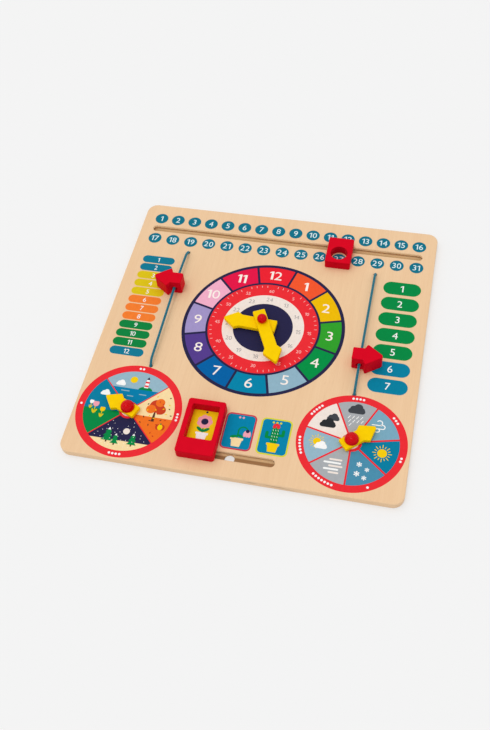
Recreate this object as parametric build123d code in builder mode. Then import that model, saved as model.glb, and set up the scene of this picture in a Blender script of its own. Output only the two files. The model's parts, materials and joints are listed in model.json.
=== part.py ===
"""Wooden clock calendar: a square birch plywood board that lies flat, with a date slider and a
mood slider held in slots, two arrow beads on cords, two clock hands and two dial pointers.

Millimetres. +X is right, +Y is up the board, +Z is out of its printed face. The origin is the
centre of the board's underside.
"""

import math
import os

from build123d import *

os.makedirs("parts", exist_ok=True)

# Board
board_side = 300.0
board_thickness = 7.0
board_corner_radius = 10.0
board_face_edge_radius = 1.0
board_back_edge_radius = 1.0
board_hole_chamfer = 0.4

# Room for cuts and fits
cut_overrun = 1.0
slide_gap = 0.2
turn_gap = 0.1
running_clearance = 0.08
glue_clearance = 0.04

# Channels cut in the back, along the slots, for the plates that hold the sliders in, and the strips
# that close the channels
channel_side_room = 3.4
channel_end_room = 2.0
channel_corner_radius = 2.5
backing_thickness = 2.6
driver_hole_diameter = 9.0
retainer_thickness = 1.6
retainer_corner_radius = 3.0

# Flat head wood screws that hold the sliders
screw_shank_diameter = 3.4
screw_head_diameter = 6.0
screw_head_height = 1.3
screw_tip_length = 2.0
screw_tip_flat_diameter = 0.6
screw_bite = 4.0
screw_recess_width = 0.9
screw_recess_length = 3.4
screw_recess_depth = 0.8
pilot_end_room = 0.5

# Date slider: its stem runs in a slot midway between the two rows of dates
date_row_spacing = 27.2
date_end_margin = 17.5
date_slot_margin = 32.5
date_slot_width = 7.0
date_slot_end_room = 1.5
date_rest_x = 57.4
date_window_diameter = 16.2
date_window_edge_radius = 0.5
date_block_side_wall = 4.15
date_block_end_wall = 4.4
date_block_stem_wall = 6.0
date_block_height = 9.0
date_block_corner_radius = 1.6
date_block_edge_radius = 0.8
date_retainer_length = 14.0

# Mood slider: a window frame over one of three cards in a row, keyed to its slot
card_pitch = 31.5
mood_slot_margin = 19.9
mood_slot_width = 7.8
mood_slot_end_room = 0.6
mood_rest_x = -29.0
mood_window_width = 24.5
mood_window_height = 33.8
mood_window_corner_radius = 1.2
mood_window_edge_radius = 0.6
mood_frame_side_wall = 4.75
mood_frame_top_wall = 5.7
mood_frame_slot_wall = 7.2
mood_frame_bottom_wall = 7.9
mood_frame_height = 10.0
mood_frame_corner_radius = 2.6
mood_frame_edge_radius = 1.0
mood_key_length = 9.6
mood_key_seat_depth = 2.0
mood_retainer_length = 22.0
mood_driver_hole_x = -0.4

# Cords, strung from the top holes to the bottom holes on both sides of the clock
month_cord_margin = 57.3
weekday_cord_margin = 54.8
cord_diameter = 2.5
cord_hole_diameter = 3.3
cord_top_clearance = 1.6
cord_bottom_margin = 99.6
cord_mouth_height = 0.9
cord_mouth_radius = 2.5
cord_end_height = 4.8
cord_end_room = 1.2
cord_bead_height = 7.2
cord_arc_share = 0.45
knot_diameter = 5.6
knot_height = 3.2
knot_edge_radius = 1.3
knot_seat_diameter = 7.6
knot_seat_depth = 4.2

# Arrow beads on the cords, pointing outwards at the months and at the weekdays
bead_tail_length = 7.1
bead_neck_length = 3.2
bead_barb_length = 2.4
bead_head_length = 16.0
bead_tail_width = 12.8
bead_head_width = 22.4
bead_height = 15.5
bead_hole_diameter = 5.6
bead_hole_height = 6.0
bead_hole_edge_radius = 0.3
bead_corner_radius = 1.2
bead_tip_radius = 2.4
bead_edge_radius = 0.8
bead_first_drop = 14.4
bead_last_rise = 12.2
month_bead_drop = 32.0
weekday_bead_rise = 21.9

# Clock: two loose hands stacked on a ball headed peg
clock_x = 0.3
clock_y = 9.25
clock_peg_diameter = 5.0
clock_ball_diameter = 9.2
clock_ball_rise = 3.0
clock_base_washer_diameter = 11.0
clock_base_washer_thickness = 1.6
clock_hand_washer_diameter = 10.0
clock_hand_washer_thickness = 0.4
hand_thickness = 4.2
hand_head_width = 18.0
hand_barb_length = 5.0
hour_hand_angle = 176.5
hour_hand_tail = 12.8
hour_hand_neck = 21.0
hour_hand_tip = 38.5
hour_hand_width = 13.2
minute_hand_angle = -63.5
minute_hand_tail = 13.2
minute_hand_neck = 30.5
minute_hand_tip = 49.5
minute_hand_width = 11.6

# Season and weather dials: one short pointer each, under a domed knob
season_side_margin = 50.7
season_bottom_margin = 49.9
season_pointer_angle = 158.5
weather_side_margin = 50.2
weather_bottom_margin = 51.5
weather_pointer_angle = 41.0
knob_peg_diameter = 6.0
knob_diameter = 12.4
knob_height = 6.6
knob_washer_diameter = 13.0
knob_washer_thickness = 1.0
pointer_thickness = 4.0
pointer_tail = 9.4
pointer_neck = 8.8
pointer_barb_length = 4.2
pointer_tip = 25.5
pointer_width = 11.8
pointer_head_width = 17.8

# Rounding shared by the hands and the pointers, and the depth of their pegs
arrow_corner_radius = 0.9
arrow_tip_radius = 1.6
arrow_edge_radius = 0.7
peg_end_recess = 0.5
peg_end_chamfer = 0.5

# Heights and places that follow from the sizes above
board_edge = board_side / 2
slider_base_z = board_thickness + slide_gap
retainer_base_z = backing_thickness + slide_gap
retainer_top_z = retainer_base_z + retainer_thickness
channel_depth = retainer_top_z + slide_gap
screw_sink_radius = screw_head_diameter / 2 + running_clearance
screw_sink_slope = (screw_head_diameter - screw_shank_diameter) / 2 / screw_head_height
screw_hole_radius = screw_shank_diameter / 2 + running_clearance
screw_pilot_radius = screw_shank_diameter / 2 + glue_clearance
screw_tip_z = slider_base_z + screw_bite + screw_tip_length

date_span = board_side - 2 * date_end_margin
date_slot_y = board_edge - date_slot_margin
date_bush_diameter = date_slot_width - 2 * running_clearance
date_slot_length = date_span + date_slot_width + 2 * date_slot_end_room
date_channel_width = date_slot_width + 2 * channel_side_room
date_channel_length = date_span + date_retainer_length + 2 * channel_end_room
date_window_offset = date_row_spacing / 2
date_block_width = date_window_diameter + 2 * date_block_side_wall
date_block_reach = date_window_offset + date_window_diameter / 2 + date_block_end_wall
date_block_length = date_block_stem_wall + date_block_reach
date_block_y = date_slot_y + (date_block_stem_wall - date_block_reach) / 2

mood_slot_y = mood_slot_margin - board_edge
mood_travel = 2 * card_pitch
mood_slot_length = mood_travel + mood_key_length + 2 * mood_slot_end_room
mood_slot_x = mood_rest_x + mood_travel / 2
mood_channel_width = mood_slot_width + 2 * channel_side_room
mood_channel_length = mood_travel + mood_retainer_length + 2 * channel_end_room
mood_frame_width = mood_window_width + 2 * mood_frame_side_wall
mood_window_y = mood_slot_y + mood_frame_slot_wall + mood_window_height / 2
mood_frame_top_y = mood_window_y + mood_window_height / 2 + mood_frame_top_wall
mood_frame_bottom_y = mood_slot_y - mood_frame_bottom_wall
mood_frame_length = mood_frame_top_y - mood_frame_bottom_y
mood_frame_y = (mood_frame_top_y + mood_frame_bottom_y) / 2
mood_key_width = mood_slot_width - 2 * running_clearance
mood_key_top_z = slider_base_z + mood_key_seat_depth - glue_clearance
mood_screw_tip_z = mood_key_top_z + screw_bite + screw_tip_length

hour_hand_z = board_thickness + clock_base_washer_thickness + turn_gap
hand_washer_z = hour_hand_z + hand_thickness + turn_gap
minute_hand_z = hand_washer_z + clock_hand_washer_thickness + turn_gap
clock_peg_seat_z = minute_hand_z + hand_thickness + turn_gap
clock_hole_radius = clock_peg_diameter / 2 + running_clearance
pointer_z = board_thickness + knob_washer_thickness + turn_gap
knob_seat_z = pointer_z + pointer_thickness + turn_gap
knob_hole_radius = knob_peg_diameter / 2 + running_clearance

season_x = season_side_margin - board_edge
season_y = season_bottom_margin - board_edge
weather_x = board_edge - weather_side_margin
weather_y = weather_bottom_margin - board_edge

month_cord_x = month_cord_margin - board_edge
weekday_cord_x = board_edge - weekday_cord_margin
cord_top_y = date_slot_y - date_block_reach - cord_top_clearance
cord_bottom_y = cord_bottom_margin - board_edge
bead_first_y = cord_top_y - bead_first_drop
bead_last_y = cord_bottom_y + bead_last_rise
month_bead_y = bead_first_y - month_bead_drop
weekday_bead_y = bead_last_y + weekday_bead_rise
cord_hole_places = [
    (x, y) for x in (month_cord_x, weekday_cord_x) for y in (cord_top_y, cord_bottom_y)
]


def upright_plane(x, y):
    """The plane through a vertical axis at x, y, with +X across and +Z up it."""
    return Plane(origin=(x, y, 0), x_dir=(1, 0, 0), z_dir=(0, -1, 0))


def arrow_sketch(plane, tail, neck, barb, tip, width, head_width, corner_radius, tip_radius):
    """An arrow outline with a square tail, pointing along the plane's X axis from its origin."""
    with BuildSketch(plane, mode=Mode.PRIVATE) as arrow:
        with BuildLine():
            Polyline(
                (-tail, -width / 2),
                (neck, -width / 2),
                (barb, -head_width / 2),
                (tip, 0),
                (barb, head_width / 2),
                (neck, width / 2),
                (-tail, width / 2),
                close=True,
            )
        make_face()
        fillet(arrow.vertices().sort_by(Axis.X)[:-1], corner_radius)
        fillet(arrow.vertices().sort_by(Axis.X)[-1], tip_radius)
    return arrow.sketch


def screw_profile(plane, tip_z):
    """Half the section of a wood screw, head down, from its head up to its tip."""
    with BuildSketch(plane, mode=Mode.PRIVATE) as half:
        with BuildLine():
            Polyline(
                (0, retainer_base_z),
                (screw_head_diameter / 2, retainer_base_z),
                (screw_shank_diameter / 2, retainer_base_z + screw_head_height),
                (screw_shank_diameter / 2, tip_z - screw_tip_length),
                (screw_tip_flat_diameter / 2, tip_z),
                (0, tip_z),
                close=True,
            )
        make_face()
    return half.sketch


def make_screw(x, y, tip_z):
    """A flat head wood screw driven from the back, with a cross recess in its head."""
    with BuildPart() as screw:
        add(screw_profile(upright_plane(x, y), tip_z))
        revolve(axis=Axis((x, y, 0), (0, 0, 1)))
        with BuildSketch(Plane.XY.offset(retainer_base_z)):
            with Locations((x, y)):
                Rectangle(screw_recess_length, screw_recess_width)
                Rectangle(screw_recess_width, screw_recess_length)
        extrude(amount=screw_recess_depth, mode=Mode.SUBTRACT)
    return screw


def make_retainer(x, y, length, width):
    """A flat plate that slides in the back channel and holds a slider in its slot by a sunk screw."""
    sink_angle = 2 * math.degrees(math.atan(screw_sink_slope))
    with BuildPart() as retainer:
        with BuildSketch(Plane.XY.offset(retainer_base_z)):
            with Locations((x, y)):
                RectangleRounded(length, width, retainer_corner_radius)
        extrude(amount=retainer_thickness)
        with Locations(Location((x, y, retainer_base_z), (180, 0, 0))):
            CounterSinkHole(screw_hole_radius, screw_sink_radius, counter_sink_angle=sink_angle)
    return retainer


def make_backing(x, y, length, width, hole_x):
    """A thin strip glued into the mouth of a back channel, with a hole to reach the screw through."""
    with BuildPart() as backing:
        with BuildSketch():
            with Locations((x, y)):
                RectangleRounded(
                    length - 2 * glue_clearance, width - 2 * glue_clearance, channel_corner_radius
                )
            with Locations((hole_x, y)):
                Circle(driver_hole_diameter / 2, mode=Mode.SUBTRACT)
        extrude(amount=backing_thickness)
    return backing


def make_washer(x, y, z, diameter, hole_radius, thickness):
    """A flat ring on a peg."""
    with BuildPart() as washer:
        with BuildSketch(Plane.XY.offset(z)):
            with Locations((x, y)):
                Circle(diameter / 2)
                Circle(hole_radius, mode=Mode.SUBTRACT)
        extrude(amount=thickness)
    return washer


def make_arrow(x, y, z, angle, hole_radius, thickness, tail, neck, barb, tip, width, head_width):
    """A flat wooden arrow with softened edges that turns on a peg at x, y."""
    direction = (math.cos(math.radians(angle)), math.sin(math.radians(angle)), 0)
    plane = Plane(origin=(x, y, z), x_dir=direction, z_dir=(0, 0, 1))
    with BuildPart() as arrow:
        add(
            arrow_sketch(
                plane, tail, neck, barb, tip, width, head_width, arrow_corner_radius, arrow_tip_radius
            )
        )
        extrude(amount=thickness, dir=(0, 0, 1))
        fillet(arrow.edges().group_by(Axis.Z)[-1], arrow_edge_radius)
        fillet(arrow.edges().group_by(Axis.Z)[0], arrow_edge_radius)
        with Locations((x, y, z + thickness)):
            Hole(hole_radius)
    return arrow


def make_bead(side, x, y):
    """An arrow bead that points outwards on one side, with the cord's hole along Y in its tail."""
    plane = Plane(origin=(x, y, slider_base_z), x_dir=(side, 0, 0), z_dir=(0, 0, 1))
    barb = bead_neck_length + bead_barb_length
    tip = barb + bead_head_length
    with BuildPart() as bead:
        add(
            arrow_sketch(
                plane,
                bead_tail_length,
                bead_neck_length,
                barb,
                tip,
                bead_tail_width,
                bead_head_width,
                bead_corner_radius,
                bead_tip_radius,
            )
        )
        extrude(amount=bead_height, dir=(0, 0, 1))
        fillet(bead.edges().group_by(Axis.Z)[-1], bead_edge_radius)
        fillet(bead.edges().group_by(Axis.Z)[0], bead_edge_radius)
        hole_centre = (x, y, board_thickness + bead_hole_height)
        with BuildSketch(Plane(origin=hole_centre, x_dir=(1, 0, 0), z_dir=(0, 1, 0))):
            Circle(bead_hole_diameter / 2)
        extrude(amount=bead_tail_width / 2 + cut_overrun, both=True, mode=Mode.SUBTRACT)
        mouths = bead.edges().filter_by(GeomType.CIRCLE).filter_by(
            lambda edge: abs(edge.radius - bead_hole_diameter / 2) < bead_hole_edge_radius
        )
        fillet(mouths, bead_hole_edge_radius)
    return bead


def cord_route(x, bead_y):
    """The points of one cord, from its top knot over the bead to its bottom knot."""
    knot_z = knot_seat_depth
    mouth_z = board_thickness + cord_mouth_height
    end_z = board_thickness + cord_end_height
    bead_z = board_thickness + cord_bead_height
    half_tail = bead_tail_width / 2
    return [
        (x, cord_top_y, knot_z),
        (x, cord_top_y, mouth_z),
        (x, bead_first_y + half_tail + cord_end_room, end_z),
        (x, bead_y + half_tail, bead_z),
        (x, bead_y - half_tail, bead_z),
        (x, bead_last_y - half_tail - cord_end_room, end_z),
        (x, cord_bottom_y, mouth_z),
        (x, cord_bottom_y, knot_z),
    ]


def cord_radii(points):
    """An arc for each corner of a route: as large as its runs allow, and small at the holes."""
    radii = []
    for before, here, after in zip(points, points[1:], points[2:]):
        run_in = Vector(here) - Vector(before)
        run_out = Vector(after) - Vector(here)
        turn = math.radians(run_in.get_angle(run_out))
        largest = cord_arc_share * min(run_in.length, run_out.length) / math.tan(turn / 2)
        radii.append(largest)
    radii[0] = min(radii[0], cord_mouth_radius)
    radii[-1] = min(radii[-1], cord_mouth_radius)
    return radii


def make_cord(name, x, bead_y):
    """A round cord swept along straight runs joined by tangent arcs."""
    points = cord_route(x, bead_y)
    radii = cord_radii(points)
    with BuildPart() as cord:
        with BuildLine():
            route = FilletPolyline(*points, radius=radii)
        with BuildSketch(Plane(origin=route @ 0, z_dir=route % 0)):
            Circle(cord_diameter / 2)
        sweep()
    tube_volume = math.pi * cord_diameter**2 / 4 * route.length
    print(name, "length", round(route.length, 2), "arc radii", [round(radius, 1) for radius in radii])
    print(name, "volume over section times length", round(cord.part.volume / tube_volume, 5))
    return cord


def make_knots(x):
    """The two stopper knots of a cord, drawn up into their seats in the back of the board."""
    with BuildPart() as knots:
        with Locations(
            (x, cord_top_y, knot_seat_depth - knot_height / 2),
            (x, cord_bottom_y, knot_seat_depth - knot_height / 2),
        ):
            Cylinder(knot_diameter / 2, knot_height)
        fillet(knots.edges().filter_by(GeomType.CIRCLE), knot_edge_radius)
    return knots


def make_knob(x, y):
    """A domed knob on a peg that is glued into the board and holds a pointer down."""
    knob_radius = knob_diameter / 2
    dome_radius = (knob_radius**2 + knob_height**2) / (2 * knob_height)
    with BuildPart() as knob:
        with BuildSketch(upright_plane(x, y)):
            with BuildLine():
                Line((0, peg_end_recess), (knob_peg_diameter / 2, peg_end_recess))
                Line((knob_peg_diameter / 2, peg_end_recess), (knob_peg_diameter / 2, knob_seat_z))
                Line((knob_peg_diameter / 2, knob_seat_z), (knob_radius, knob_seat_z))
                RadiusArc((knob_radius, knob_seat_z), (0, knob_seat_z + knob_height), -dome_radius)
                Line((0, knob_seat_z + knob_height), (0, peg_end_recess))
            make_face()
        revolve(axis=Axis((x, y, 0), (0, 0, 1)))
        chamfer(knob.edges().group_by(Axis.Z)[0], peg_end_chamfer)
    return knob


# Board: slots and their back channels, cord holes with knot seats, and holes for the pegs
with BuildPart() as board:
    with BuildSketch():
        RectangleRounded(board_side, board_side, board_corner_radius)
    extrude(amount=board_thickness)
    fillet(board.edges().group_by(Axis.Z)[-1], board_face_edge_radius)
    fillet(board.edges().group_by(Axis.Z)[0], board_back_edge_radius)
    with BuildSketch(Plane.XY.offset(-cut_overrun)):
        with Locations((0, date_slot_y)):
            SlotOverall(date_slot_length, date_slot_width)
        with Locations((mood_slot_x, mood_slot_y)):
            SlotOverall(mood_slot_length, mood_slot_width)
    extrude(amount=board_thickness + 2 * cut_overrun, mode=Mode.SUBTRACT)
    with BuildSketch(Plane.XY.offset(-cut_overrun)):
        with Locations((0, date_slot_y)):
            RectangleRounded(date_channel_length, date_channel_width, channel_corner_radius)
        with Locations((mood_slot_x, mood_slot_y)):
            RectangleRounded(mood_channel_length, mood_channel_width, channel_corner_radius)
    extrude(amount=cut_overrun + channel_depth, mode=Mode.SUBTRACT)
    with Locations(*[Location((x, y, 0), (180, 0, 0)) for x, y in cord_hole_places]):
        CounterBoreHole(cord_hole_diameter / 2, knot_seat_diameter / 2, knot_seat_depth)
    with Locations((clock_x, clock_y, board_thickness)):
        Hole(clock_peg_diameter / 2 + glue_clearance)
    with Locations((season_x, season_y, board_thickness), (weather_x, weather_y, board_thickness)):
        Hole(knob_peg_diameter / 2 + glue_clearance)
    face_rims = board.faces().sort_by(Axis.Z)[-1].inner_wires().edges()
    chamfer(face_rims, board_hole_chamfer)
board.part.label = "board"
export_step(board.part, "parts/board.step")

# Strips that close the channels in the board's back
date_slot_backing = make_backing(0, date_slot_y, date_channel_length, date_channel_width, date_rest_x)
date_slot_backing.part.label = "date_slot_backing"
export_step(date_slot_backing.part, "parts/date_slot_backing.step")

mood_slot_backing = make_backing(
    mood_slot_x, mood_slot_y, mood_channel_length, mood_channel_width, mood_driver_hole_x
)
mood_slot_backing.part.label = "mood_slot_backing"
export_step(mood_slot_backing.part, "parts/mood_slot_backing.step")

# Date slider block: a block with a round window, that swivels on its stem to serve either row
with BuildPart() as date_slider_block:
    with BuildSketch(Plane.XY.offset(slider_base_z)):
        with Locations((date_rest_x, date_block_y)):
            RectangleRounded(date_block_width, date_block_length, date_block_corner_radius)
    extrude(amount=date_block_height)
    fillet(date_slider_block.edges().group_by(Axis.Z)[-1], date_block_edge_radius)
    with Locations((date_rest_x, date_slot_y - date_window_offset, slider_base_z + date_block_height)):
        Hole(date_window_diameter / 2)
    window_rim = date_slider_block.faces().sort_by(Axis.Z)[-1].inner_wires().edges()
    fillet(window_rim, date_window_edge_radius)
    with BuildSketch(Plane.XY.offset(slider_base_z)):
        with Locations((date_rest_x, date_slot_y)):
            Circle(screw_pilot_radius)
    extrude(amount=screw_bite + screw_tip_length + pilot_end_room, mode=Mode.SUBTRACT)
date_slider_block.part.label = "date_slider_block"
export_step(date_slider_block.part, "parts/date_slider_block.step")

# Date slider bush: the sleeve that runs in the slot, round the screw
with BuildPart() as date_slider_bush:
    with BuildSketch(Plane.XY.offset(retainer_top_z)):
        with Locations((date_rest_x, date_slot_y)):
            Circle(date_bush_diameter / 2)
            Circle(screw_hole_radius, mode=Mode.SUBTRACT)
    extrude(amount=slider_base_z - turn_gap - retainer_top_z)
date_slider_bush.part.label = "date_slider_bush"
export_step(date_slider_bush.part, "parts/date_slider_bush.step")

# Date slider retainer and screw
date_slider_retainer = make_retainer(
    date_rest_x, date_slot_y, date_retainer_length, date_channel_width - 2 * slide_gap
)
date_slider_retainer.part.label = "date_slider_retainer"
export_step(date_slider_retainer.part, "parts/date_slider_retainer.step")

date_slider_screw = make_screw(date_rest_x, date_slot_y, screw_tip_z)
date_slider_screw.part.label = "date_slider_screw"
export_step(date_slider_screw.part, "parts/date_slider_screw.step")

# Mood slider frame: an upright window above a solid foot that covers the slot
with BuildPart() as mood_slider_frame:
    with BuildSketch(Plane.XY.offset(slider_base_z)):
        with Locations((mood_rest_x, mood_frame_y)):
            RectangleRounded(mood_frame_width, mood_frame_length, mood_frame_corner_radius)
    extrude(amount=mood_frame_height)
    fillet(mood_slider_frame.edges().group_by(Axis.Z)[-1], mood_frame_edge_radius)
    with BuildSketch(Plane.XY.offset(slider_base_z - cut_overrun)):
        with Locations((mood_rest_x, mood_window_y)):
            RectangleRounded(mood_window_width, mood_window_height, mood_window_corner_radius)
    extrude(amount=mood_frame_height + 2 * cut_overrun, mode=Mode.SUBTRACT)
    window_rim = mood_slider_frame.faces().sort_by(Axis.Z)[-1].inner_wires().edges()
    fillet(window_rim, mood_window_edge_radius)
    with BuildSketch(Plane.XY.offset(slider_base_z)):
        with Locations((mood_rest_x, mood_slot_y)):
            SlotOverall(mood_key_length + 2 * glue_clearance, mood_key_width + 2 * glue_clearance)
    extrude(amount=mood_key_seat_depth, mode=Mode.SUBTRACT)
    with BuildSketch(Plane.XY.offset(slider_base_z)):
        with Locations((mood_rest_x, mood_slot_y)):
            Circle(screw_pilot_radius)
    extrude(amount=mood_screw_tip_z - slider_base_z + pilot_end_room, mode=Mode.SUBTRACT)
mood_slider_frame.part.label = "mood_slider_frame"
export_step(mood_slider_frame.part, "parts/mood_slider_frame.step")

# Mood slider key: an obround tongue glued into the frame, which keeps it square to the slot
with BuildPart() as mood_slider_key:
    with BuildSketch(Plane.XY.offset(retainer_top_z)):
        with Locations((mood_rest_x, mood_slot_y)):
            SlotOverall(mood_key_length, mood_key_width)
            Circle(screw_hole_radius, mode=Mode.SUBTRACT)
    extrude(amount=mood_key_top_z - retainer_top_z)
mood_slider_key.part.label = "mood_slider_key"
export_step(mood_slider_key.part, "parts/mood_slider_key.step")

# Mood slider retainer and screw
mood_slider_retainer = make_retainer(
    mood_rest_x, mood_slot_y, mood_retainer_length, mood_channel_width - 2 * slide_gap
)
mood_slider_retainer.part.label = "mood_slider_retainer"
export_step(mood_slider_retainer.part, "parts/mood_slider_retainer.step")

mood_slider_screw = make_screw(mood_rest_x, mood_slot_y, mood_screw_tip_z)
mood_slider_screw.part.label = "mood_slider_screw"
export_step(mood_slider_screw.part, "parts/mood_slider_screw.step")

# Beads, cords and knots: months on the left, weekdays on the right
for name, side, x, bead_y in (
    ("month", -1, month_cord_x, month_bead_y),
    ("weekday", 1, weekday_cord_x, weekday_bead_y),
):
    bead = make_bead(side, x, bead_y)
    bead.part.label = f"{name}_bead"
    export_step(bead.part, f"parts/{name}_bead.step")
    cord = make_cord(f"{name}_cord", x, bead_y)
    cord.part.label = f"{name}_cord"
    export_step(cord.part, f"parts/{name}_cord.step")
    knots = make_knots(x)
    knots.part.label = f"{name}_cord_knots"
    export_step(knots.part, f"parts/{name}_cord_knots.step")

# Clock hands
hour_hand = make_arrow(
    clock_x,
    clock_y,
    hour_hand_z,
    hour_hand_angle,
    clock_hole_radius,
    hand_thickness,
    hour_hand_tail,
    hour_hand_neck,
    hour_hand_neck + hand_barb_length,
    hour_hand_tip,
    hour_hand_width,
    hand_head_width,
)
hour_hand.part.label = "hour_hand"
export_step(hour_hand.part, "parts/hour_hand.step")

minute_hand = make_arrow(
    clock_x,
    clock_y,
    minute_hand_z,
    minute_hand_angle,
    clock_hole_radius,
    hand_thickness,
    minute_hand_tail,
    minute_hand_neck,
    minute_hand_neck + hand_barb_length,
    minute_hand_tip,
    minute_hand_width,
    hand_head_width,
)
minute_hand.part.label = "minute_hand"
export_step(minute_hand.part, "parts/minute_hand.step")

# Clock peg: a turned ball on a shank that is glued into the board
with BuildPart() as clock_peg:
    ball_radius = clock_ball_diameter / 2
    ball_z = clock_peg_seat_z + clock_ball_rise
    seat_radius = math.sqrt(ball_radius**2 - clock_ball_rise**2)
    with BuildSketch(upright_plane(clock_x, clock_y)):
        with BuildLine():
            Line((0, peg_end_recess), (clock_peg_diameter / 2, peg_end_recess))
            Line((clock_peg_diameter / 2, peg_end_recess), (clock_peg_diameter / 2, clock_peg_seat_z))
            Line((clock_peg_diameter / 2, clock_peg_seat_z), (seat_radius, clock_peg_seat_z))
            ThreePointArc((seat_radius, clock_peg_seat_z), (ball_radius, ball_z), (0, ball_z + ball_radius))
            Line((0, ball_z + ball_radius), (0, peg_end_recess))
        make_face()
    revolve(axis=Axis((clock_x, clock_y, 0), (0, 0, 1)))
    chamfer(clock_peg.edges().group_by(Axis.Z)[0], peg_end_chamfer)
clock_peg.part.label = "clock_peg"
export_step(clock_peg.part, "parts/clock_peg.step")

# Washers under and between the hands
clock_base_washer = make_washer(
    clock_x,
    clock_y,
    board_thickness,
    clock_base_washer_diameter,
    clock_hole_radius,
    clock_base_washer_thickness,
)
clock_base_washer.part.label = "clock_base_washer"
export_step(clock_base_washer.part, "parts/clock_base_washer.step")

clock_hand_washer = make_washer(
    clock_x,
    clock_y,
    hand_washer_z,
    clock_hand_washer_diameter,
    clock_hole_radius,
    clock_hand_washer_thickness,
)
clock_hand_washer.part.label = "clock_hand_washer"
export_step(clock_hand_washer.part, "parts/clock_hand_washer.step")

# Season and weather pointers, each between a washer and a domed knob
for name, x, y, angle in (
    ("season", season_x, season_y, season_pointer_angle),
    ("weather", weather_x, weather_y, weather_pointer_angle),
):
    pointer = make_arrow(
        x,
        y,
        pointer_z,
        angle,
        knob_hole_radius,
        pointer_thickness,
        pointer_tail,
        pointer_neck,
        pointer_neck + pointer_barb_length,
        pointer_tip,
        pointer_width,
        pointer_head_width,
    )
    pointer.part.label = f"{name}_pointer"
    export_step(pointer.part, f"parts/{name}_pointer.step")
    knob = make_knob(x, y)
    knob.part.label = f"{name}_knob"
    export_step(knob.part, f"parts/{name}_knob.step")
    washer = make_washer(
        x, y, board_thickness, knob_washer_diameter, knob_hole_radius, knob_washer_thickness
    )
    washer.part.label = f"{name}_washer"
    export_step(washer.part, f"parts/{name}_washer.step")
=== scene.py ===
import json
import math
import random

import bmesh
import bpy
from mathutils import Matrix, Vector


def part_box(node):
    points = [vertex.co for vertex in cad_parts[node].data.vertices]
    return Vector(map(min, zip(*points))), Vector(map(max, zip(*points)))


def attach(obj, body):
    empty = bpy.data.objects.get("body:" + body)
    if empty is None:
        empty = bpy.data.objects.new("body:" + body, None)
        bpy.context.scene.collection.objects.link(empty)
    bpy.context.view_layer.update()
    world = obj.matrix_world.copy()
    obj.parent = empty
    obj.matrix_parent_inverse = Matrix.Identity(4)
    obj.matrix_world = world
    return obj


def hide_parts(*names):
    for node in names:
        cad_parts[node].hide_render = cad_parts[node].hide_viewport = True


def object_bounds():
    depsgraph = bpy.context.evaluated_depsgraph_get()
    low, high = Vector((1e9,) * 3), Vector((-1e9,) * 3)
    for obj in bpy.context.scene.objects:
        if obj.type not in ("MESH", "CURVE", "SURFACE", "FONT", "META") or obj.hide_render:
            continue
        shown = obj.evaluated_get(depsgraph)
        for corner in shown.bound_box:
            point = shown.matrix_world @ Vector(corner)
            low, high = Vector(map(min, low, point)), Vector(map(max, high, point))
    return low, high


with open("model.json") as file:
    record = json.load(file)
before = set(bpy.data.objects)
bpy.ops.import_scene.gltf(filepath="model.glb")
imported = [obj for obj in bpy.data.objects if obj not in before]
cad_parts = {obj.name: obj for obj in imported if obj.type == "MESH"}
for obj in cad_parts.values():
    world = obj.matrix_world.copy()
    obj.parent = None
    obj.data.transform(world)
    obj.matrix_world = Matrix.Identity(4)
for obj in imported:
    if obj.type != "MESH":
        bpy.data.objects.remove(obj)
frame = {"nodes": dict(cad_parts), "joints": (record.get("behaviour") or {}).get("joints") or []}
cad_low, cad_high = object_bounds()

# Board
# A square of birch plywood, seven plies glued crosswise. The slots, channels and holes are cut
# with a router, the edges are sanded round, and the whole board is sealed with a clear satin lacquer.
mm = 0.001
board_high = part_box("board")[1]
board_edge = board_high.x
board_top = board_high.z
ply_count = 7
wall_inset = 4 * mm
veneer_grain = (1500, 34, 1500)
noise_low, noise_high = 0.3, 0.7


def shade(red, green, blue):
    """A colour by its 0 to 255 screen levels, as the linear colour that a shader takes."""
    levels = [level / 255 for level in (red, green, blue)]
    linear = [x / 12.92 if x <= 0.04045 else ((x + 0.055) / 1.055) ** 2.4 for x in levels]
    return (*linear, 1.0)


def darker(colour, share):
    """A colour with only a share of its light."""
    return (*(level * share for level in colour[:3]), 1.0)


def add_node(tree, kind, inputs=None, **settings):
    """A shader node with its settings and inputs: a socket is linked, and a value is set."""
    node = tree.nodes.new(kind)
    for name, value in settings.items():
        setattr(node, name, value)
    for name, value in (inputs or {}).items():
        if isinstance(value, bpy.types.NodeSocket):
            tree.links.new(value, node.inputs[name])
        else:
            node.inputs[name].default_value = value
    return node


def calculate(tree, operation, *values):
    """A Math node on one or more sockets or numbers."""
    return add_node(tree, "ShaderNodeMath", dict(enumerate(values)), operation=operation).outputs[0]


def mix_colours(tree, share, first, second):
    """The first colour, turning into the second as share goes from 0 to 1."""
    inputs = {0: share, 6: first, 7: second}
    return add_node(tree, "ShaderNodeMix", inputs, data_type="RGBA").outputs[2]


def spread(tree, value, low, high, new_low, new_high):
    """A value from one range, brought to another and held inside it."""
    inputs = {"Value": value, "From Min": low, "From Max": high, "To Min": new_low, "To Max": new_high}
    return add_node(tree, "ShaderNodeMapRange", inputs).outputs[0]


def streaks(tree, scale, detail=3.0):
    """Noise on the piece's own coordinates, stretched by a scale along each axis."""
    place = add_node(tree, "ShaderNodeTexCoord").outputs["Object"]
    mapped = add_node(tree, "ShaderNodeMapping", {"Vector": place, "Scale": scale}).outputs[0]
    inputs = {"Vector": mapped, "Scale": 1.0, "Detail": detail, "Roughness": 0.6}
    return add_node(tree, "ShaderNodeTexNoise", inputs).outputs[0]


def new_material(name):
    """An empty material, its node tree and its shader."""
    material = bpy.data.materials.new(name)
    material.use_nodes = True
    return material, material.node_tree, material.node_tree.nodes["Principled BSDF"]


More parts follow.
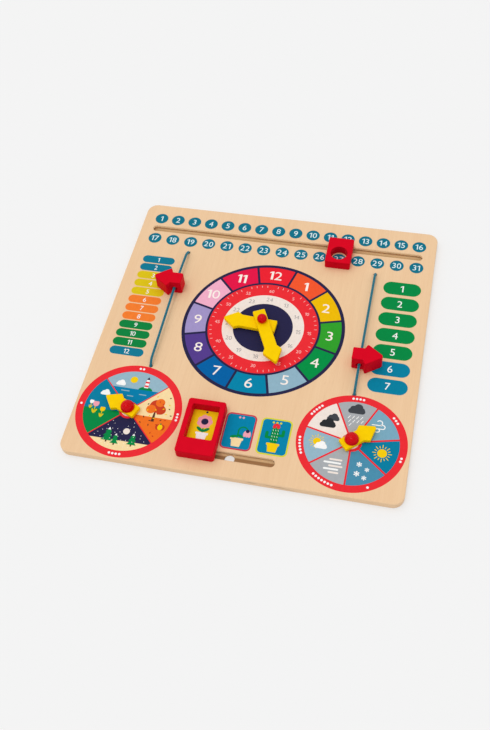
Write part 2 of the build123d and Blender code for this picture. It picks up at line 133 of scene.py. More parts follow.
def emboss(tree, shader, height, depth, strength):
    """Lifts the surface by a pattern, depth deep, without moving the mesh."""
    inputs = {"Height": height, "Distance": depth, "Strength": strength}
    tree.links.new(add_node(tree, "ShaderNodeBump", inputs).outputs[0], shader.inputs["Normal"])


def roughen(tree, shader, pattern, low, high):
    """Lets the roughness follow a pattern of noise, from low to high."""
    rough = spread(tree, pattern, noise_low, noise_high, low, high)
    tree.links.new(rough, shader.inputs["Roughness"])


def finish_node(name, material):
    """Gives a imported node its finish."""
    slots = frame["nodes"][name].data.materials
    slots.clear()
    slots.append(material)


def plywood():
    """Birch veneer on the faces, and plies with glue lines where an edge or a wall cuts them."""
    material, tree, shader = new_material("birch_plywood")
    fibres = streaks(tree, veneer_grain, 4.0)
    bands = streaks(tree, (70, 6, 70), 2.0)
    pores = streaks(tree, (3800, 130, 3800), 1.0)
    tone = calculate(tree, "MULTIPLY_ADD", fibres, 0.55, calculate(tree, "MULTIPLY", bands, 0.45))
    tone = spread(tree, tone, 0.33, 0.67, 0.0, 1.0)
    veneer = mix_colours(tree, tone, shade(241, 205, 164), shade(233, 194, 152))
    pore_marks = spread(tree, pores, 0.66, 0.78, 0.0, 0.22)
    veneer = mix_colours(tree, pore_marks, veneer, shade(186, 137, 92))

    place = add_node(tree, "ShaderNodeTexCoord").outputs["Object"]
    along = add_node(tree, "ShaderNodeSeparateXYZ", {0: place}).outputs
    facing = add_node(tree, "ShaderNodeNewGeometry").outputs["Normal"]
    facing = add_node(tree, "ShaderNodeSeparateXYZ", {0: facing}).outputs
    level = spread(tree, along[2], 0.0, board_top, 0.01, ply_count - 0.01)
    crosswise = calculate(tree, "MODULO", calculate(tree, "FLOOR", level), 2.0)
    cut_y = calculate(tree, "MULTIPLY", facing[1], facing[1])
    cut_x = calculate(tree, "MULTIPLY", facing[0], facing[0])
    straight_cut = calculate(tree, "MULTIPLY", cut_y, calculate(tree, "SUBTRACT", 1.0, crosswise))
    end_grain_and_shade = calculate(tree, "MULTIPLY_ADD", cut_x, crosswise, straight_cut)
    speckle = streaks(tree, (900, 900, 2600), 3.0)
    speckle = spread(tree, speckle, noise_low, noise_high, 0.72, 1.0)
    end_grain_and_shade = calculate(tree, "MULTIPLY", end_grain_and_shade, speckle)
    colour = mix_colours(tree, end_grain_and_shade, veneer, shade(231, 199, 162))

    in_ply = calculate(tree, "FRACT", level)
    to_glue = calculate(tree, "MINIMUM", in_ply, calculate(tree, "SUBTRACT", 1.0, in_ply))
    from_middle = calculate(tree, "ABSOLUTE", calculate(tree, "SUBTRACT", level, ply_count / 2))
    inside = calculate(tree, "LESS_THAN", from_middle, ply_count / 2 - 0.5)
    glue = calculate(tree, "MULTIPLY", spread(tree, to_glue, 0.03, 0.12, 0.4, 0.0), inside)
    colour = mix_colours(tree, glue, colour, shade(172, 128, 88))

    upright = spread(tree, calculate(tree, "ABSOLUTE", facing[2]), 0.2, 0.6, 1.0, 0.0)
    away_x, away_y = (calculate(tree, "ABSOLUTE", along[axis]) for axis in (0, 1))
    from_edge = calculate(tree, "MAXIMUM", away_x, away_y)
    # Painted light: the walls of the slots, channels and holes are painted a paler birch, lifting the
    # shade that falls inside them.
    painted_wall_light = spread(tree, from_edge, board_edge - 2 * wall_inset, board_edge - wall_inset, 0.8, 0.0)
    painted_wall_light = calculate(tree, "MULTIPLY", painted_wall_light, upright)
    colour = mix_colours(tree, painted_wall_light, colour, shade(250, 224, 182))

    knots = spread(tree, streaks(tree, (38, 38, 150), 0.0), 0.74, 0.78, 0.0, 0.45)
    core = calculate(tree, "LESS_THAN", from_middle, 1.5)
    voids = calculate(tree, "MULTIPLY", calculate(tree, "MULTIPLY", knots, upright), core)
    colour = mix_colours(tree, voids, colour, shade(88, 56, 34))

    tree.links.new(colour, shader.inputs["Base Color"])
    roughen(tree, shader, fibres, 0.40, 0.52)
    shader.inputs["Specular IOR Level"].default_value = 0.15
    emboss(tree, shader, fibres, 0.03 * mm, 0.35)
    return material


finish_node("board", plywood())

# Dates
# Two rows of round spots with white figures, screen printed on the board's face in flat inks. Each
# ink is a film a few hundredths of a millimetre thick, and later inks lie on the earlier ones.
film = 0.03 * mm
joint_at = {joint["name"]: Vector(joint["pos_m"]) for joint in frame["joints"] if "pos_m" in joint}
figures = {}


def ink(name, colour):
    """A screen printing ink: opaque, a little uneven, with a faint relief from the wood's grain."""
    material, tree, shader = new_material("ink_" + name)
    patches = spread(tree, streaks(tree, (420, 300, 420), 4.0), 0.35, 0.65, 0.0, 0.55)
    uneven = mix_colours(tree, patches, colour, darker(colour, 0.88))
    tree.links.new(uneven, shader.inputs["Base Color"])
    fibres = streaks(tree, veneer_grain, 4.0)
    roughen(tree, shader, fibres, 0.42, 0.56)
    shader.inputs["Specular IOR Level"].default_value = 0.04
    emboss(tree, shader, fibres, 0.02 * mm, 0.25)
    return material


def polar(reach, angle):
    """The x and y of a point, from its distance to the origin and its angle in degrees."""
    return reach * math.cos(math.radians(angle)), reach * math.sin(math.radians(angle))


def disc(radius, corners=56):
    """A flat round spot. Like all flat shapes here, it is measured in millimetres."""
    shape = bmesh.new()
    bmesh.ops.create_circle(shape, cap_ends=True, radius=radius * mm, segments=corners)
    return shape


def ring(inner, outer, start=0.0, end=360.0):
    """A flat ring, or the part of one between two angles in degrees."""
    shape = bmesh.new()
    side = Vector((*polar(mm, start), 0))
    ends = [shape.verts.new(side * inner), shape.verts.new(side * outer)]
    geometry = [*ends, shape.edges.new(ends)]
    turn = end - start
    bmesh.ops.spin(
        shape,
        geom=geometry,
        cent=(0, 0, 0),
        axis=(0, 0, 1),
        angle=math.radians(turn),
        steps=max(4, round(abs(turn) / 3)),
        use_merge=turn == 360.0,
    )
    return shape


def label(width, height, radius, steps=8):
    """A flat rectangle with rounded corners, or with round ends if the radius is half its height."""
    shape = bmesh.new()
    bmesh.ops.create_grid(shape, x_segments=1, y_segments=1, size=0.5)
    bmesh.ops.scale(shape, vec=(width * mm, height * mm, 1), verts=shape.verts[:])
    bmesh.ops.bevel(
        shape,
        geom=shape.verts[:],
        offset=radius * mm,
        segments=steps,
        profile=0.5,
        affect="VERTICES",
        material=-1,
        clamp_overlap=False,
    )
    bmesh.ops.remove_doubles(shape, verts=shape.verts[:], dist=0.001 * mm)
    return shape


def outline(points):
    """A flat shape with straight sides, from its corners."""
    shape = bmesh.new()
    shape.faces.new([shape.verts.new((x * mm, y * mm, 0)) for x, y in points])
    return shape


def moved(shape, x=0.0, y=0.0, turn=0.0, stretch=(1.0, 1.0)):
    """A flat shape stretched, turned by degrees and moved, in that order."""
    bmesh.ops.scale(shape, vec=(*stretch, 1.0), verts=shape.verts[:])
    matrix = Matrix.Translation((x * mm, y * mm, 0)) @ Matrix.Rotation(math.radians(turn), 4, "Z")
    bmesh.ops.transform(shape, matrix=matrix, verts=shape.verts[:])
    return shape


def trimmed(shape, x, y, angle):
    """A flat shape without what lies past a line through x, y, on the side that angle points to."""
    geometry = [*shape.verts, *shape.edges, *shape.faces]
    point, away = (x * mm, y * mm, 0), (*polar(1.0, angle), 0)
    bmesh.ops.bisect_plane(shape, geom=geometry, plane_co=point, plane_no=away, clear_outer=True)
    return shape


def figure(character, weight):
    """One plain figure, 1 high, from Blender's own letters thickened by weight. The 1 gets a flag."""
    key = (character, weight)
    if key not in figures:
        shape = bmesh.new()
        if character == "1":
            flag = 0.27 - 0.9 * weight
            edge = flag + 0.13 + 0.45 * weight
            drop = 0.75 * flag
            corners = [(flag, 0), (edge, 0), (edge, 1), (flag + 0.03, 1)]
            corners += [(0, 1 - drop), (0, 0.87 - drop), (flag, 0.83)]
            shape.faces.new([shape.verts.new((x, y, 0)) for x, y in corners])
        else:
            letter = bpy.data.curves.new("figure", "FONT")
            letter.body = character
            letter.resolution_u = 5
            holder = bpy.data.objects.new("figure", letter)
            flat = bpy.data.meshes.new_from_object(holder)
            shape.from_mesh(flat)
            bpy.data.objects.remove(holder)
            bmesh.ops.remove_doubles(shape, verts=shape.verts[:], dist=0.0001)
            if weight:
                bmesh.ops.inset_region(
                    shape,
                    faces=shape.faces[:],
                    thickness=weight * 0.7,
                    use_boundary=True,
                    use_even_offset=True,
                    use_outset=True,
                )
            low = min(vert.co.y for vert in shape.verts)
            high = max(vert.co.y for vert in shape.verts)
            left = min(vert.co.x for vert in shape.verts)
            bmesh.ops.translate(shape, vec=(-left, -low, 0), verts=shape.verts[:])
            bmesh.ops.scale(shape, vec=(1 / (high - low),) * 3, verts=shape.verts[:])
        mesh = bpy.data.meshes.new("figure")
        shape.to_mesh(mesh)
        shape.free()
        figures[key] = mesh
    return figures[key]


def number(text, height, weight=0.05, gap=0.1):
    """A flat number, centred on the origin."""
    shape = bmesh.new()
    reach = 0.0
    for character in text:
        before = len(shape.verts)
        shape.from_mesh(figure(character, weight))
        shape.verts.ensure_lookup_table()
        added = shape.verts[before:]
        bmesh.ops.translate(shape, vec=(reach, 0, 0), verts=added)
        reach = max(vert.co.x for vert in added) + gap
    bmesh.ops.translate(shape, vec=((gap - reach) / 2, -0.5, 0), verts=shape.verts[:])
    bmesh.ops.scale(shape, vec=(height * mm,) * 3, verts=shape.verts[:])
    return shape


class Print:
    """Inks on the board's face, gathered into one piece."""

    def __init__(self, name, centre=(0.0, 0.0)):
        self.name = name
        self.centre = Vector((*centre, board_top))
        self.films = bmesh.new()
        self.materials = []

    def lay(self, shape, material, layer=0.0):
        """Lays a flat shape as a film on the layers below. Part layers keep crossing films apart."""
        if material not in self.materials:
            self.materials.append(material)
        below = int(layer)
        lifted = bmesh.ops.extrude_face_region(shape, geom=shape.faces[:], use_keep_orig=True)["geom"]
        top = [item for item in lifted if isinstance(item, bmesh.types.BMVert)]
        bmesh.ops.translate(shape, vec=(0, 0, film * (1 + layer - below)), verts=top)
        bmesh.ops.recalc_face_normals(shape, faces=shape.faces[:])
        bmesh.ops.translate(shape, vec=self.centre + Vector((0, 0, film * below)), verts=shape.verts[:])
        for face in shape.faces:
            face.material_index = self.materials.index(material)
        mesh = bpy.data.meshes.new("film")
        shape.to_mesh(mesh)
        shape.free()
        self.films.from_mesh(mesh)
        bpy.data.meshes.remove(mesh)

    def finish(self):
        """Makes the piece and lets it ride on the board."""
        mesh = bpy.data.meshes.new(self.name)
        self.films.to_mesh(mesh)
        self.films.free()
        for material in self.materials:
            mesh.materials.append(material)
        piece = bpy.data.objects.new(self.name, mesh)
        bpy.context.scene.collection.objects.link(piece)
        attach(piece, "board")


white = ink("white", shade(252, 252, 250))
ice_white = ink("ice_white", shade(232, 248, 250))
navy = ink("navy", shade(40, 38, 74))
sea_blue = ink("sea_blue", shade(14, 115, 138))

date_spot_radius = 6.7
date_row_rise = 13.6
date_span = 265.0
date_shift = 0.5
date_figure_height = 6.5
date_figure_weight = 0.045
date_figure_gap = 0.16
dates = Print("date_print", (0.0, joint_at["date_swivel"].y))
for row, first, count in ((date_row_rise, 1, 16), (-date_row_rise, 17, 15)):
    for place in range(count):
        x = date_shift + date_span * (place / (count - 1) - 0.5)
        date = number(str(first + place), date_figure_height, date_figure_weight, date_figure_gap)
        dates.lay(moved(disc(date_spot_radius), x, row), sea_blue)
        dates.lay(moved(date, x, row), ice_white, 1)
dates.finish()

# Month labels
# Twelve labels with round ends down the left side, numbered from 1 to 12, in the colours of the
# four seasons. They are printed with the dates.
month_x = -120.0
month_first_y = 75.4
month_last_y = -38.2
month_label_width = 33.0
month_label_height = 9.1
month_figure_height = 5.0
label_blue = ink("label_blue", shade(16, 123, 150))
label_yellow = ink("label_yellow", shade(224, 198, 22))
label_orange = ink("label_orange", shade(248, 128, 48))
label_green = ink("label_green", shade(12, 132, 64))
month_inks = [label_blue] * 2 + [label_yellow] * 3 + [label_orange] * 3
month_inks += [label_green] * 3 + [label_blue]
months = Print("month_print")
for place, month_ink in enumerate(month_inks):
    y = month_first_y + (month_last_y - month_first_y) * place / (len(month_inks) - 1)
    month_label = label(month_label_width, month_label_height, month_label_height / 2)
    months.lay(moved(month_label, month_x, y), month_ink)
    months.lay(moved(number(str(place + 1), month_figure_height), month_x, y), white, 1)
months.finish()

# Weekday labels
# Seven larger labels down the right side, numbered from 1 to 7: five school days in green and the
# two days of the weekend in blue.
weekday_x = 122.6
weekday_first_y = 75.5
weekday_last_y = -36.8
weekday_label_width = 35.7
weekday_label_height = 15.3
weekday_figure_height = 7.5
weekday_green = ink("weekday_green", shade(2, 138, 68))
weekday_blue = ink("weekday_blue", shade(4, 130, 162))
weekday_inks = [weekday_green] * 5 + [weekday_blue] * 2
weekdays = Print("weekday_print")
for place, weekday_ink in enumerate(weekday_inks):
    y = weekday_first_y + (weekday_last_y - weekday_first_y) * place / (len(weekday_inks) - 1)
    weekday_label = label(weekday_label_width, weekday_label_height, weekday_label_height / 2)
    weekdays.lay(moved(weekday_label, weekday_x, y), weekday_ink)
    weekdays.lay(moved(number(str(place + 1), weekday_figure_height), weekday_x, y), white, 1)
weekdays.finish()

# Clock face
# Twelve coloured fields with the hours in a dark ring, inside it a red ring with the minutes, a
# cream ring with the hours from 13 to 24, and a dark middle behind the hands.
cream = ink("cream", shade(245, 232, 222))
ring_red = ink("ring_red", shade(240, 46, 54))
soft_pink = ink("soft_pink", shade(255, 196, 192))
warm_white = ink("warm_white", shade(254, 242, 234))
pale_grey = ink("pale_grey", shade(176, 170, 168))
hour_inks = [
    ink("hour_1", shade(246, 88, 46)),
    ink("hour_2", shade(242, 190, 0)),
    ink("hour_3", shade(50, 162, 44)),
    ink("hour_4", shade(0, 146, 70)),
    ink("hour_5", shade(146, 182, 200)),
    ink("hour_6", shade(0, 134, 172)),
    ink("hour_7", shade(0, 98, 166)),
    ink("hour_8", shade(86, 62, 142)),
    ink("hour_9", shade(164, 150, 202)),
    ink("hour_10", shade(246, 178, 204)),
    ink("hour_11", shade(232, 20, 72)),
    ink("hour_12", shade(240, 34, 50)),
]
clock_radius = 76.8
hour_ring = (54.3, 73.6)
minute_ring = (38.7, 52.1)
late_ring = (28.2, 38.7)
divider = 2.3
hour_reach = 63.2
two_figure_reach = 63.8
hour_figure_height = 10.2
hour_figure_weight = 0.135
hour_figure_stretch = (1.15, 1.0)
minute_reach = 44.0
minute_figure_height = 3.5
late_reach = 33.6
late_figure_height = 4.5
late_figure_weight = 0.02
tick_reach = 49.4
tick_length = 2.4
tick_width = 0.5
clock_washer_low, clock_washer_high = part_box("clock_base_washer")
clock_washer_radius = (clock_washer_high.x - clock_washer_low.x) / (2 * mm)


def dial_field(hub, rim, middle, width, gap):
    """One field of a dial, width degrees wide about its middle, drawn in from its dividers."""
    field = ring(hub, rim, middle - width / 2, middle + width / 2)
    for side in (-1, 1):
        away = middle + side * (90.0 + width / 2)
        trimmed(field, *polar(-gap / 2, away), away)
    return field


clock = Print("clock_print", joint_at["hour_turn"].xy)
clock.lay(ring(clock_washer_radius, clock_radius), navy)
clock.lay(ring(*minute_ring), ring_red, 1)
clock.lay(ring(*late_ring), cream, 1)
for hour, hour_ink in enumerate(hour_inks, start=1):
    angle = 90.0 - 30.0 * hour
    clock.lay(dial_field(*hour_ring, angle, 30.0, divider), hour_ink, 1)
    hour_figures = number(str(hour), hour_figure_height, hour_figure_weight)
    hour_figures = moved(hour_figures, stretch=hour_figure_stretch)
    reach = hour_reach if hour < 10 else two_figure_reach
    clock.lay(moved(hour_figures, *polar(reach, angle)), warm_white, 2)
    minute_figures = number(str(5 * hour), minute_figure_height, 0.0)
    clock.lay(moved(minute_figures, *polar(minute_reach, angle)), soft_pink, 2)
    late_figures = number(str(hour + 12), late_figure_height, late_figure_weight)
    clock.lay(moved(late_figures, *polar(late_reach, angle)), pale_grey, 2)
for minute in range(60):
    if minute % 5:
        tick = moved(label(tick_length, tick_width, 0.4 * tick_width, 2), tick_reach)
        clock.lay(moved(tick, turn=6.0 * minute), soft_pink, 2)
clock.finish()

# Season dial
# A red disc with four fields, one for each season, each a simple landscape in flat inks. White
# spots in the rim, one to four, number the seasons.
sky_grey = ink("sky_grey", shade(152, 186, 202))
sky_blue = ink("sky_blue", shade(4, 127, 163))
deep_teal = ink("deep_teal", shade(0, 128, 174))
leaf_green = ink("leaf_green", shade(2, 137, 69))
sand = ink("sand", shade(252, 224, 168))
orange = ink("orange", shade(244, 116, 34))
rust = ink("rust", shade(206, 66, 34))
bark = ink("bark", shade(92, 52, 40))
sun_yellow = ink("sun_yellow", shade(250, 208, 8))
pink = ink("pink", shade(246, 166, 180))
season_radius = 48.05
season_rim = 41.3
season_hub = 8.7
season_width = 90.0
season_divider = 1.0
season_middles = {"spring": 180.0, "summer": 90.0, "autumn": 0.0, "winter": 270.0}
scatter_reach = (14.5, 39.0)
scatter_angle = 39.0
rim_spot_radius = 1.1
rim_spot_step = 4.0
knob_washer_low, knob_washer_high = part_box("season_washer")
knob_washer_radius = (knob_washer_high.x - knob_washer_low.x) / (2 * mm)
seasons = Print("season_print", joint_at["season_turn"].xy)


def rim_spots(dial, count, middle, radius):
    """White spots in a dial's rim that number a field."""
    for place in range(count):
        angle = middle + rim_spot_step * (place - (count - 1) / 2)
        dial.lay(moved(disc(rim_spot_radius, 20), *polar(radius, angle)), white, 1)


def landscape(season, sky, land, horizon):
    """The ground of one season's field: a sky, and land or water up to the horizon."""
    for material, layer in ((sky, 1), (land, 2)):
        field = dial_field(season_hub, season_rim, season_middles[season], season_width, season_divider)
        if material is land:
            trimmed(field, 0, horizon, 90)
        seasons.lay(field, material, layer)


def cloud(dial, x, y, size, material, layer):
    """A cloud with a flat base and three humps, size wide."""
    dial.lay(moved(label(size, 0.34 * size, 0.17 * size), x, y), material, layer)
    humps = ((-0.2, 0.15, 0.2), (0.08, 0.24, 0.26), (0.3, 0.1, 0.16))
    for place, (shift, rise, radius) in enumerate(humps, start=1):
        hump = moved(disc(radius * size, 32), x + shift * size, y + rise * size)
        dial.lay(hump, material, layer + 0.15 * place)


def scattered(count, season, gap, seed):
    """Places at random in a season's field, at least gap apart."""
    chance = random.Random(seed)
    nearest, farthest = scatter_reach
    places = []
    while len(places) < count:
        angle = season_middles[season] + chance.uniform(-scatter_angle, scatter_angle)
        place = polar(math.sqrt(chance.uniform(nearest**2, farthest**2)), angle)
        if all(math.dist(place, other) >= gap for other in places):
            places.append(place)
    return places


seasons.lay(ring(knob_washer_radius, season_radius), ring_red)
for count, middle in enumerate(season_middles.values(), start=1):
    rim_spots(seasons, count, middle, (season_radius + season_rim) / 2)

# Summer, at the top: a lighthouse on an island in a calm sea.
landscape("summer", sky_grey, deep_teal, 22.5)
for x, y, width in ((-9, 19.5, 8), (8, 17.5, 7), (-3, 14.6, 6)):
    seasons.lay(moved(label(width, 0.9, 0.45, 4), x, y), sky_grey, 3)
island = moved(disc(6.5, 40), 9, 22.5, stretch=(1, 0.55))
seasons.lay(trimmed(island, 0, 22.5, -90), leaf_green, 3)
seasons.lay(outline([(7, 25), (11, 25), (10.2, 34), (7.8, 34)]), white, 3.5)
for y in (27.0, 31.0):
    seasons.lay(moved(label(3.7, 1.8, 0.1, 1), 9, y), ring_red, 4)
seasons.lay(outline([(7.4, 34), (10.6, 34), (9, 37)]), navy, 3.5)
seasons.lay(moved(disc(3.4, 36), -4, 32), sun_yellow, 3)
cloud(seasons, -15, 26, 9, white, 3)

# Autumn, on the right: a round tree that drops its leaves, and a gourd.
landscape("autumn", sand, orange, -3.5)
seasons.lay(outline([(22.6, -8), (25.4, -8), (24.6, 4), (23.4, 4)]), bark, 3)
crowns = ((24, 8, 6.6), (19.6, 4.4, 4.4), (28.6, 4.6, 4.6), (26.5, 12, 4.2))
for place, (x, y, radius) in enumerate(crowns):
    seasons.lay(moved(disc(radius, 40), x, y), (rust, orange)[place % 2], 3.2 + 0.15 * place)
for place, (x, y) in enumerate(scattered(26, "autumn", 4.0, 3)):
    fallen = moved(disc(1.0, 10), stretch=(1.0, 0.5))
    seasons.lay(moved(fallen, x, y, 47.0 * place), (rust, bark, sun_yellow)[place % 3], 4)
for place, shift in enumerate((-2.0, 2.0, 0.0)):
    gourd_rib = moved(disc(3.0, 32), 32.5 + shift, -12.5, stretch=(0.75, 0.95))
    seasons.lay(gourd_rib, (rust, rust, sun_yellow)[place], 4 + 0.2 * place)
seasons.lay(moved(label(0.9, 1.8, 0.2, 2), 32.5, -9.2, -12), leaf_green, 4.7)

# Winter, at the bottom: fir trees on a snow field, under a moon.
landscape("winter", navy, sand, -31.5)
for x, y, size in ((-11, -33, 1.0), (-3.5, -35, 0.75), (12, -34, 0.85)):
    trunk = [(x - 0.7, y - 1.6), (x + 0.7, y - 1.6), (x + 0.7, y + 1), (x - 0.7, y + 1)]
    seasons.lay(outline(trunk), bark, 3)
    tiers = [(5.2, 0, 7, leaf_green, 3.2), (4.2, 4.2, 10.4, leaf_green, 3.35)]
    tiers += [(3.0, 8.2, 13.4, leaf_green, 3.5), (1.5, 10.8, 13.4, white, 4)]
    for half, low, high, tier_ink, layer in tiers:
        foot_y = y + low * size
        tier = [(x - half * size, foot_y), (x + half * size, foot_y), (x, y + high * size)]
        seasons.lay(outline(tier), tier_ink, layer)
seasons.lay(moved(disc(3.0, 36), 4.5, -21.5), cream, 3)
for x, y in scattered(40, "winter", 3.0, 5):
    seasons.lay(moved(disc(0.32, 12), x, y), white, 4)

# Spring, on the left: three tulips on a green hill.
landscape("spring", sky_blue, leaf_green, -3.0)
tulips = ((-31, -8, 1.0, pink), (-23.5, -11, 0.85, sun_yellow), (-35.5, -3.5, 0.7, white))
for x, y, size, petals in tulips:
    seasons.lay(moved(label(0.8, 9 * size, 0.2, 2), x, y + 4 * size), label_yellow, 3)
    for side in (-1, 1):
        blade = moved(disc(2.4 * size, 24), stretch=(0.32, 1.0))
        blade = moved(blade, x + side * 1.3 * size, y + 2 * size, -side * 24.0)
        seasons.lay(blade, label_yellow, 3.3 + 0.1 * side)
    for place, shift in enumerate((-1.3, 1.3, 0.0)):
        petal = moved(disc(2.6 * size, 28), stretch=(0.55, 1.0))
        petal = moved(petal, x + shift * size, y + 9.5 * size, -shift * 8)
        seasons.lay(petal, petals, 3.5 + 0.15 * place)
cloud(seasons, -26, 13.5, 9, white, 3)
seasons.finish()

# Weather dial
# A red disc with seven fields: snow, sun, wind, rain, clouds, a little sun, and fog. White spots in
# the rim, one to seven, number them.
storm = ink("storm", shade(66, 70, 76))
charcoal = ink("charcoal", shade(44, 46, 50))
steel_blue = ink("steel_blue", shade(76, 144, 174))
mist = ink("mist", shade(172, 176, 180))
wind_blue = ink("wind_blue", shade(124, 172, 194))
weather_radius = 47.45
weather_rim = 40.8
weather_hub = 9.0
weather_divider = 1.6
icon_reach = 27.5
field_width = 360.0 / 7
weather = Print("weather_print", joint_at["weather_turn"].xy)
weather.lay(ring(knob_washer_radius, weather_radius), ring_red)
weather_fields = [steel_blue, sky_blue, wind_blue, mist, cream, sky_grey, mist]
icon_at = []
for place, field_ink in enumerate(weather_fields):
    middle = 270.0 + field_width * (place + 0.5)
    field = dial_field(weather_hub, weather_rim, middle, field_width, weather_divider)
    weather.lay(field, field_ink, 1)
    rim_spots(weather, place + 1, middle, (weather_radius + weather_rim) / 2)
    icon_at.append(polar(icon_reach, middle))


def sun(dial, x, y, radius, layer):
    """A sun with a ring of short rays."""
    dial.lay(moved(disc(radius, 40), x, y), sun_yellow, layer)
    for place in range(16):
        length = radius * (0.55 if place % 2 else 0.8)
        ray = label(length, 0.16 * radius, 0.06 * radius, 2)
        ray = moved(ray, 1.22 * radius + length / 2)
        dial.lay(moved(moved(ray, turn=22.5 * place), x, y), sun_yellow, layer)


def flake(dial, x, y, size, layer):
    """A snowflake of three crossed bars with small side arms."""
    for place in range(3):
        bar = label(size, 0.14 * size, 0.07 * size, 3)
        dial.lay(moved(bar, x, y, 60.0 * place + 30.0), white, layer + 0.2 * place)
    for place in range(6):
        turn = 60.0 * place + 30.0
        arm_x, arm_y = polar(0.34 * size, turn)
        arm = label(0.3 * size, 0.1 * size, 0.05 * size, 2)
        dial.lay(moved(arm, x + arm_x, y + arm_y, turn + 90.0), white, layer + 0.7)


snow, sunshine, wind, rain, clouds, bright_spell, fog = icon_at
x, y = snow
flakes = ((-2.5, 5.0, 5.0), (4.5, 1.0, 4.2), (-3.5, -4.0, 5.4), (3.0, -7.0, 4.6))
for shift, rise, size in flakes:
    flake(weather, x + shift, y + rise, size, 2)
x, y = sunshine
sun(weather, x, y, 4.1, 2)
x, y = wind
for rise, length, radius in ((3.4, 7.0, 2.4), (0.0, 10.0, 2.0), (-3.4, 6.0, 1.7)):
    gust = label(length, 0.9, 0.45, 4)
    weather.lay(moved(gust, x - 7.0 + length / 2, y + rise), white, 2)
    curl = ring(radius - 0.45, radius + 0.45, -90.0, 150.0)
    weather.lay(moved(curl, x - 7.4 + length, y + rise + radius), white, 2.2)
x, y = rain
cloud(weather, x, y + 4.0, 15, storm, 2)
for place in range(9):
    row, column = divmod(place, 4)
    drop = moved(label(0.6, 3.6, 0.3, 3), turn=-32.0)
    drop = moved(drop, x - 5.6 + 3.6 * column + 0.9 * row, y - 2.5 - 3.8 * row)
    weather.lay(drop, white, 2)
x, y = clouds
cloud(weather, x + 2.6, y + 3.4, 11, storm, 2)
cloud(weather, x - 1.2, y - 3.4, 14, charcoal, 3)
x, y = bright_spell
sun(weather, x - 2.2, y + 2.2, 3.6, 2)
cloud(weather, x + 1.6, y - 2.4, 11, white, 3)
x, y = fog
fog_bars = ((1.5, 11), (-1.0, 15), (2.0, 12), (-1.5, 13), (1.0, 9))
for place, (shift, length) in enumerate(fog_bars):
    bar = label(length, 1.7, 0.85, 5)
    weather.lay(moved(bar, x + shift, y + 6.0 - 3.1 * place), (cream, white)[place % 2], 2)
weather.finish()

# Mood cards
# Three printed cards in a row above the lower slot. Each shows a potted plant in another temper: in
# bloom, drooping and prickly. The slider's window frames one of them.
card_places = (-29.0, 2.3, 34.0)
card_y = -104.7
card_size = (27.5, 36.5)
card_corner = 4.6
card_border = 1.4
card_yellow = ink("card_yellow", shade(250, 214, 18))
card_blue = ink("card_blue", shade(0, 133, 174))
brick_red = ink("brick_red", shade(206, 62, 78))
lime = ink("lime", shade(220, 216, 52))
card_inks = ((card_yellow, card_yellow), (brick_red, card_blue), (lime, card_blue))
cards = Print("card_print")


def pot(x, y, material):
    """A flower pot with a rim, standing on y."""
    cards.lay(outline([(x - 3.6, y), (x + 3.6, y), (x + 4.8, y + 7), (x - 4.8, y + 7)]), material, 2)
    cards.lay(moved(label(11.4, 2.2, 0.5, 3), x, y + 7.6), material, 2.3)


def leaf(x, y, length, turn):
    """A leaf whose stalk is at x, y."""
    blade = moved(disc(0.5 * length, 28), 0.5 * length, 0, stretch=(1.0, 0.42))
    cards.lay(moved(blade, x, y, turn), leaf_green, 2.6)


for place, (x, (border, ground)) in enumerate(zip(card_places, card_inks)):
    for inset, tone, layer in ((0.0, border, 0), (card_border, ground, 1)):
        width, height = (side - 2 * inset for side in card_size)
        field = label(width, height, card_corner - inset)
        cards.lay(moved(field, x, card_y), tone, layer)
    for spot in range(place + 1):
        pip = moved(disc(1.0, 20), x + 3.2 * (spot - place / 2), card_y + 14.2)
        cards.lay(pip, (navy, pink, lime)[place], 2)

bloom_x, droop_x, cactus_x = card_places
stand_y = card_y - 15.0
bloom_y = stand_y + 19.6

# In bloom: one upright flower between two leaves.
pot(bloom_x, stand_y, white)
cards.lay(moved(label(1.2, 9, 0.3, 2), bloom_x, stand_y + 12.5), leaf_green, 2.1)
leaf(bloom_x, stand_y + 9.5, 7.0, 35)
leaf(bloom_x, stand_y + 9.5, 7.0, 145)
for place in range(7):
    across, up = polar(4.1, 360.0 * place / 7)
    petal = moved(disc(2.9, 28), bloom_x + across, bloom_y + up)
    cards.lay(petal, pink, 2.5 + 0.05 * place)
cards.lay(moved(disc(3.2, 36), bloom_x, bloom_y), navy, 3)

# Drooping: the stem bends over and the flower hangs.
pot(droop_x, stand_y, sand)
cards.lay(moved(label(1.2, 8, 0.3, 2), droop_x, stand_y + 12), leaf_green, 2.1)
cards.lay(moved(ring(3.4, 4.6, 0.0, 180.0), droop_x + 4.0, stand_y + 16), leaf_green, 2.2)
leaf(droop_x, stand_y + 10.5, 6.5, -165)
leaf(droop_x, stand_y + 12.0, 6.0, -25)
for place, shift in enumerate((-1.7, 1.7, 0.0)):
    petal = moved(disc(3.2, 28), stretch=(0.5, 1.0))
    cards.lay(moved(petal, droop_x + 8.0 + shift, stand_y + 13.6, 6 * shift), pink, 2.5 + 0.12 * place)
cards.lay(moved(disc(1.7, 28), droop_x + 8.0, stand_y + 16.4), navy, 3)

